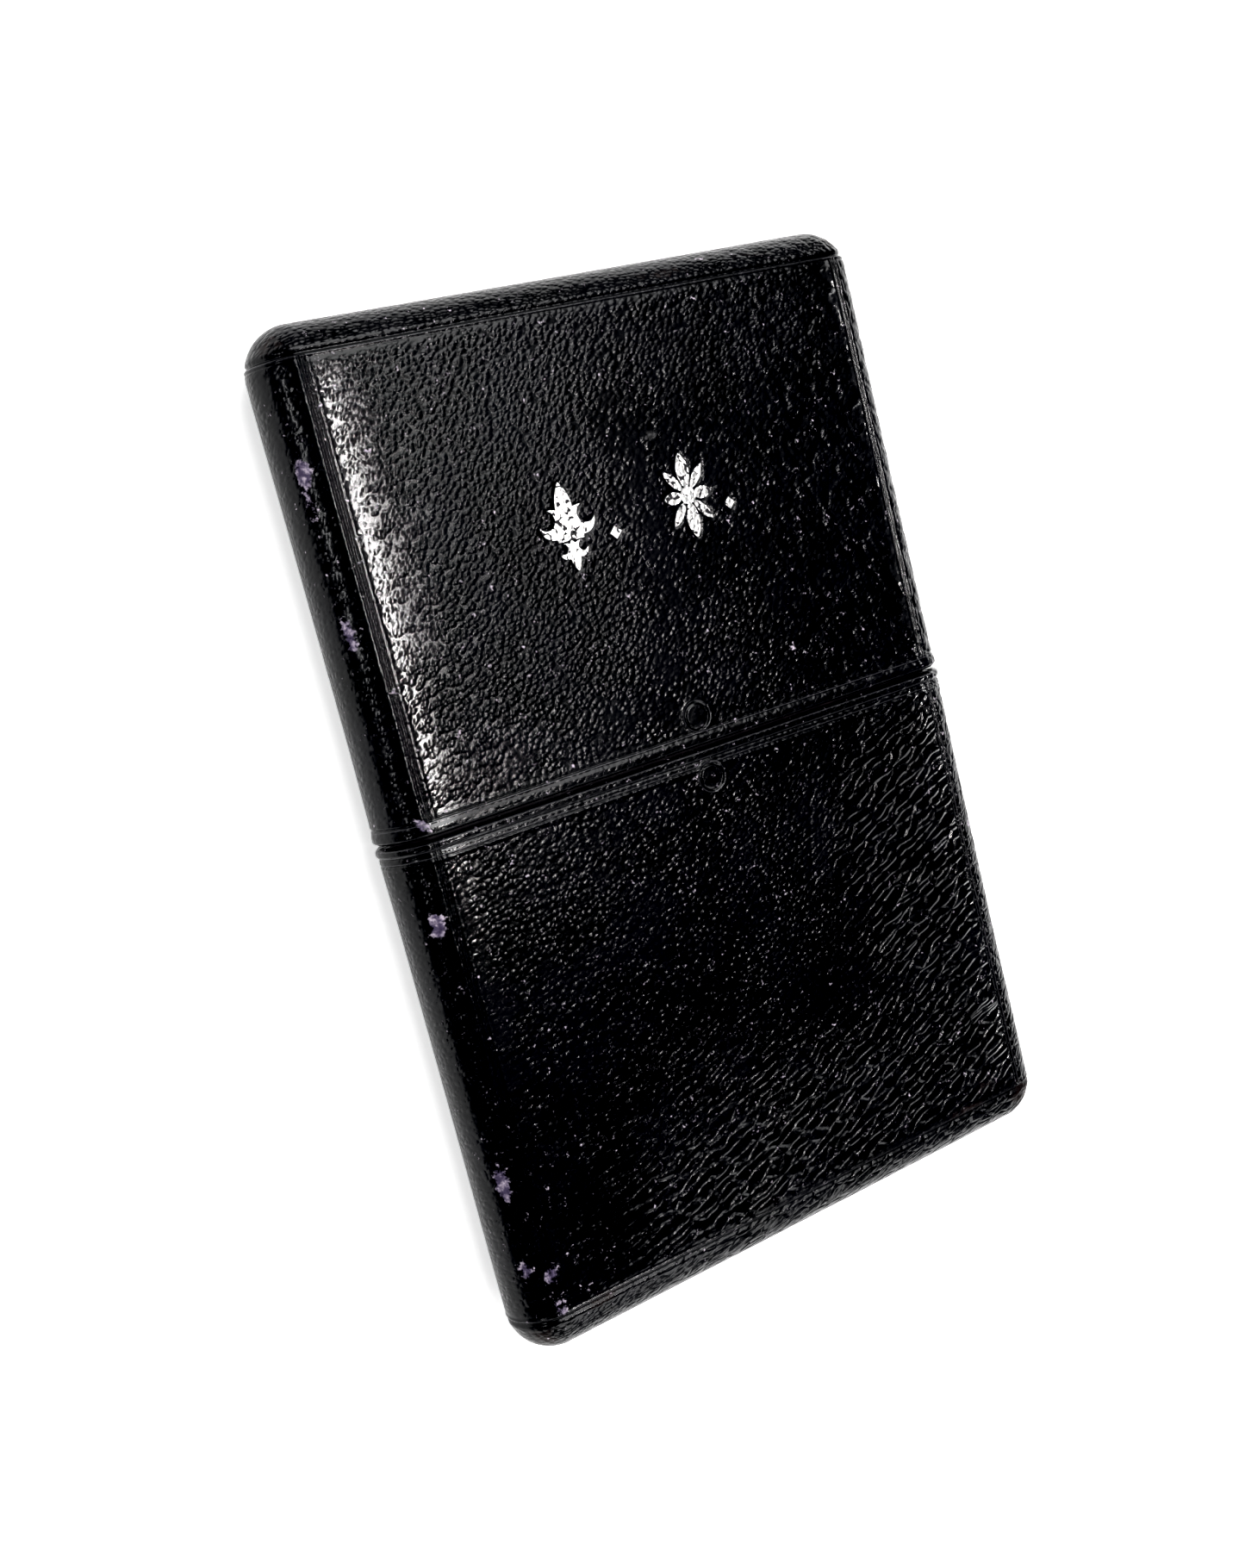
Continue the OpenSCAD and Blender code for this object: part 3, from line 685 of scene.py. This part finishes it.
def book_leather():
    n = Nodes("book_leather"); co = n.mm()
    w = warp(n, co, 1.1, 0.18)
    v = n.voronoi(n.mapping(w, scale=(1.25, 1.75, 1.5)), 1.15)
    dome = n.math("SUBTRACT", 1.0, n.math("MULTIPLY", n.math("MULTIPLY", v, v), 1.3))
    tone = n.noise(co, 0.15, 3.0, 0.6)
    col = n.mix(n.range(tone, 0.35, 0.65), (0.0045, 0.0036, 0.0062), (0.0085, 0.0065, 0.0120))
    sp = n.new("ShaderNodeSeparateXYZ"); n.link(co, sp.inputs[0])
    cx, cy = BOOK_MID
    ax = n.math("ABSOLUTE", n.math("SUBTRACT", sp.outputs[0], cx)); ay = n.math("ABSOLUTE", n.math("SUBTRACT", sp.outputs[1], cy))
    # two gilt fillets round each board
    line = None
    for (inset, half) in ((3.2, 0.17), (4.3, 0.08)):
        d = n.math("ABSOLUTE", n.math("MAXIMUM", n.math("SUBTRACT", ax, BOOK_HALF[0] - inset), n.math("SUBTRACT", ay, BOOK_HALF[1] - inset)))
        k = n.range(d, half, half + 0.07, 1.0, 0.0)
        line = k if line is None else n.math("MAXIMUM", line, k)
    worn = n.noise(co, 0.9, 4.0, 0.65)
    k, col = gold_on(n, col, line, worn)
    h = n.math("MULTIPLY", dome, n.range(line, 0.0, 1.0, 0.050, 0.004, "LINEAR"))
    h = n.math("MULTIPLY_ADD", line, -0.06, h)
    n.set(Base_Color=col, Metallic=k, Roughness=n.mixf(k, n.math("MULTIPLY_ADD", tone, 0.2, 0.18), 0.28))
    n.set(Normal=n.bump(h))
    return n.m

def gilt_pages():
    n = Nodes("gilt_pages"); co = n.mm()
    leaf = n.noise(n.mapping(co, scale=(0.05, 0.05, 9.0)), 1.0, 2.0, 0.6)
    pinch = n.noise(n.mapping(co, scale=(0.25, 0.25, 1.2)), 1.0, 3.0)
    worn = n.noise(co, 0.35, 4.0, 0.7)
    k = n.range(worn, 0.66, 0.74, 1.0, 0.0)
    gold = n.mix(leaf, (0.62, 0.40, 0.13), (0.93, 0.70, 0.34))
    col = n.mix(k, n.mix(leaf, (0.50, 0.34, 0.22), (0.74, 0.62, 0.45)), gold)
    n.set(Base_Color=col, Metallic=n.math("MULTIPLY", k, 0.95), Roughness=n.mixf(k, 0.7, n.math("MULTIPLY_ADD", leaf, 0.16, 0.20)))
    n.set(Normal=n.bump(n.math("MULTIPLY_ADD", pinch, 0.05, n.math("MULTIPLY", leaf, 0.035))))
    return n.m

def linen(name, c0, c1, pitch):
    n = Nodes(name); co = n.mm()
    h, a, b = weave(n, co, pitch, pitch*1.1, 0.06)
    f = n.noise(co, 1.8, 3.0, 0.6)
    n.set(Base_Color=n.mix(f, c0, c1), Roughness=0.86, Normal=n.bump(n.math("MULTIPLY_ADD", f, 0.03, h)))
    return n.m

def paper(name, c0, c1, laid=1.1):
    n = Nodes(name); co = n.mm()
    sp = n.new("ShaderNodeSeparateXYZ"); n.link(co, sp.inputs[0])
    l = n.math("SINE", n.math("MULTIPLY", sp.outputs[1], 2*math.pi/laid))
    f = n.noise(co, 0.25, 5.0, 0.7)
    fox = n.range(n.noise(co, 0.12, 3.0, 0.6), 0.60, 0.78)
    col = n.mix(n.range(f, 0.3, 0.7), c0, c1)
    col = n.mix(n.math("MULTIPLY", fox, 0.4), col, (0.42, 0.27, 0.13))
    n.set(Base_Color=col, Roughness=0.80, Normal=n.bump(n.math("MULTIPLY_ADD", l, 0.006, n.math("MULTIPLY", f, 0.02))))
    return n.m

def headband():
    n = Nodes("headband_silk"); co = n.mm()
    sp = n.new("ShaderNodeSeparateXYZ"); n.link(co, sp.inputs[0])
    ph = n.math("MULTIPLY", sp.outputs[2], 2*math.pi/1.25)
    st = n.range(n.math("SINE", ph), -0.25, 0.25)
    th = n.math("SINE", n.math("MULTIPLY", sp.outputs[2], 2*math.pi/0.21))
    f = n.noise(co, 3.0, 2.0)
    col = n.mix(st, n.mix(f, (0.55, 0.46, 0.30), (0.70, 0.62, 0.44)), n.mix(f, (0.20, 0.05, 0.16), (0.30, 0.09, 0.24)))
    n.set(Base_Color=col, Roughness=0.45, Sheen_Weight=0.3, Normal=n.bump(n.math("MULTIPLY", th, 0.035)))
    return n.m

def ribbon():
    n = Nodes("ribbon_silk"); co = n.mm()
    sp = n.new("ShaderNodeSeparateXYZ"); n.link(n.mapping(co, rot=(0, 0, 8)), sp.inputs[0])
    rib = n.math("SINE", n.math("MULTIPLY", sp.outputs[1], 2*math.pi/0.32))
    f = n.noise(n.mapping(co, scale=(3, 0.4, 1)), 1.0, 3.0)
    n.set(Base_Color=n.mix(f, (0.16, 0.03, 0.13), (0.30, 0.08, 0.25)), Roughness=0.38, Sheen_Weight=0.4,
          Normal=n.bump(n.math("MULTIPLY_ADD", f, 0.02, n.math("MULTIPLY", rib, 0.018))))
    return n.m

_p, _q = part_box("cover_leather")
BOOK_MID = ((_p.x + _q.x)*500, (_p.y + _q.y)*500)
BOOK_HALF = ((_q.x - _p.x)*500, (_q.y - _p.y)*500)
_in = {"pasteboard": pasteboard(), "skiver": skiver(), "silk": silk(), "book": book_leather(), "gilt": gilt_pages(),
       "tape": linen("linen_tape", (0.50, 0.44, 0.34), (0.66, 0.60, 0.48), 0.42),
       "gauze": linen("spine_gauze_weave", (0.60, 0.55, 0.45), (0.74, 0.70, 0.60), 0.75),
       "kraft": paper("kraft_paper", (0.26, 0.18, 0.10), (0.36, 0.26, 0.16), 0.9),
       "end": paper("endpaper_laid", (0.72, 0.66, 0.54), (0.82, 0.77, 0.66)),
       "band": headband(), "ribbon": ribbon()}
for _k, _names in {"pasteboard": ("lower_board", "cap_board", "neck_board", "front_board", "back_board"),
                   "skiver": ("neck_cover",), "silk": ("lower_lining", "cap_lining"), "book": ("cover_leather",),
                   "gilt": ("gatherings",), "tape": ("sewing_tapes",), "gauze": ("spine_gauze",),
                   "kraft": ("spine_liner",), "band": ("headband", "tailband"),
                   "end": ("front_endpaper", "back_endpaper"), "ribbon": ("ribbon_marker",)}.items():
    for _nm in _names:
        _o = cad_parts[_nm]; _o.data.materials.clear(); _o.data.materials.append(_in[_k])

# ------------------------------------------------------------------ floor, light, camera
def floor():
    n = Nodes("floor_white")
    co = n.mm()
    f = n.noise(co, 0.9, 4.0, 0.6)
    n.set(Base_Color=n.mix(f, (0.86, 0.86, 0.855), (0.90, 0.90, 0.895)), Roughness=0.85)
    n.set(Emission_Color=n.mix(f, (0.97, 0.97, 0.97), (1.0, 1.0, 1.0)), Emission_Strength=0.70)
    n.set(Normal=n.bump(n.math("MULTIPLY", f, 0.02)))
    return n.m
fm = make_mesh("studio_floor", [(-3, -3, 0), (3, -3, 0), (3, 3, 0), (-3, 3, 0)], [(0, 1, 2, 3)], False)
fm.data.materials.append(floor())

def area(name, loc, target, size, power, color=(1, 1, 1), long_axis=(0, 1, 0)):
    """soft lamp; its second size lies along long_axis as nearly as it can"""
    d = bpy.data.lights.new(name, "AREA")
    d.shape = "RECTANGLE"; d.size, d.size_y = size
    d.energy = power; d.color = color
    o = bpy.data.objects.new(name, d)
    bpy.context.scene.collection.objects.link(o)
    z = (Vector(loc) - Vector(target)).normalized()
    y = Vector(long_axis); y = (y - z*y.dot(z)).normalized()
    x = y.cross(z)
    m = Matrix((x, y, z)).transposed().to_4x4(); m.translation = Vector(loc)
    o.matrix_world = m
    return o

CAM = Vector((-0.107198, 0.031980, 0.188167))
ROWS = [(0.8349, -0.2451, 0.4928), (-0.2871, -0.9578, 0.0100), (0.4696, -0.1498, -0.8701)]

def mirrored(x, y, k, n=(0, 0, 1)):
    """where a lamp stands to be seen in the face at x, y (mm) where its normal is n; k sets how far off it is"""
    p = Vector((x/1000, y/1000, T/1000)); v = p - CAM
    n = Vector(n).normalized()
    return p + (v - n*(2*v.dot(n)))*(k - 1), p

loc, tgt = mirrored(-35.6, 32, 4.0)
area("strip", loc, tgt, (0.009, 0.21), 0.66, (1.0, 0.975, 0.965))
loc, tgt = mirrored(-36.5, 30, 4.0, (-0.15, 0, 0.989))
area("strip_roll", loc, tgt, (0.016, 0.20), 0.9, (1.0, 0.985, 0.98))
area("key_left", (-1.1, 0.20, 0.85), (0, 0, 0), (0.06, 0.6), 2.6)
area("wall_foot", (0.1, -1.3, 0.85), (0, 0, 0), (0.7, 1.3), 13.0, long_axis=(1, 0, 0))
area("wall_head", (0.30, 0.90, 1.16), (0, 0, 0), (1.1, 1.1), 24.0, long_axis=(1, 0, 0))

world = bpy.data.worlds.new("studio"); bpy.context.scene.world = world
world.use_nodes = True
wt = world.node_tree; wt.nodes.clear()
wo = wt.nodes.new("ShaderNodeOutputWorld"); bg = wt.nodes.new("ShaderNodeBackground")
tc = wt.nodes.new("ShaderNodeTexCoord"); sp = wt.nodes.new("ShaderNodeSeparateXYZ")
rp = wt.nodes.new("ShaderNodeValToRGB")
wt.links.new(tc.outputs["Generated"], sp.inputs[0]); wt.links.new(sp.outputs["Z"], rp.inputs[0])
rp.color_ramp.elements[0].position = 0.0; rp.color_ramp.elements[0].color = (0.30, 0.31, 0.33, 1)
rp.color_ramp.elements[1].position = 0.70; rp.color_ramp.elements[1].color = (0.004, 0.004, 0.005, 1)
e = rp.color_ramp.elements.new(0.16); e.color = (0.03, 0.032, 0.04, 1)
# two soft glows in the dark of the room
glow = rp.outputs[0]
for (dx_, dy_, dz_), inner_, outer_, c_ in (((0.455, 0.020, 0.890), 1.0, 8.0, (0.28, 0.305, 0.37)),
                                            ((0.640, -0.300, 0.707), 2.0, 12.0, (0.05, 0.055, 0.07))):
    dt = wt.nodes.new("ShaderNodeVectorMath"); dt.operation = "DOT_PRODUCT"
    wt.links.new(tc.outputs["Generated"], dt.inputs[0]); dt.inputs[1].default_value = (dx_, dy_, dz_)
    mr = wt.nodes.new("ShaderNodeMapRange"); mr.interpolation_type = "SMOOTHSTEP"
    wt.links.new(dt.outputs["Value"], mr.inputs["Value"])
    mr.inputs["From Min"].default_value = math.cos(math.radians(outer_)); mr.inputs["From Max"].default_value = math.cos(math.radians(inner_))
    mx = wt.nodes.new("ShaderNodeMix"); mx.data_type = "RGBA"; mx.blend_type = "MIX"
    cols = [i for i in mx.inputs if i.type == "RGBA"]
    wt.links.new(mr.outputs["Result"], mx.inputs["Factor"]); wt.links.new(glow, cols[0]); cols[1].default_value = c_ + (1,)
    glow = [o for o in mx.outputs if o.type == "RGBA"][0]
wt.links.new(glow, bg.inputs[0]); bg.inputs[1].default_value = 1.0
wt.links.new(bg.outputs[0], wo.inputs[0])

cd = bpy.data.cameras.new("camera"); cam = bpy.data.objects.new("camera", cd)
bpy.context.scene.collection.objects.link(cam)
r0, r1, r2 = (Vector(r).normalized() for r in ROWS)
M = Matrix((r0, -r1, -r2)).transposed().to_4x4()
M.translation = CAM
cam.matrix_world = M
cd.sensor_width = 36.0; cd.sensor_fit = "AUTO"
cd.lens = 1998.25/1820*36.0
cd.clip_start = 0.01; cd.clip_end = 20
bpy.context.scene.camera = cam
bpy.context.scene.view_settings.view_transform = "Standard"
bpy.context.scene.view_settings.gamma = 0.68
bpy.context.scene.view_settings.use_curve_mapping = True
bpy.context.scene.view_settings.curve_mapping.black_level = (0.0112, 0.0104, 0.0098)
bpy.context.scene.view_settings.curve_mapping.update()
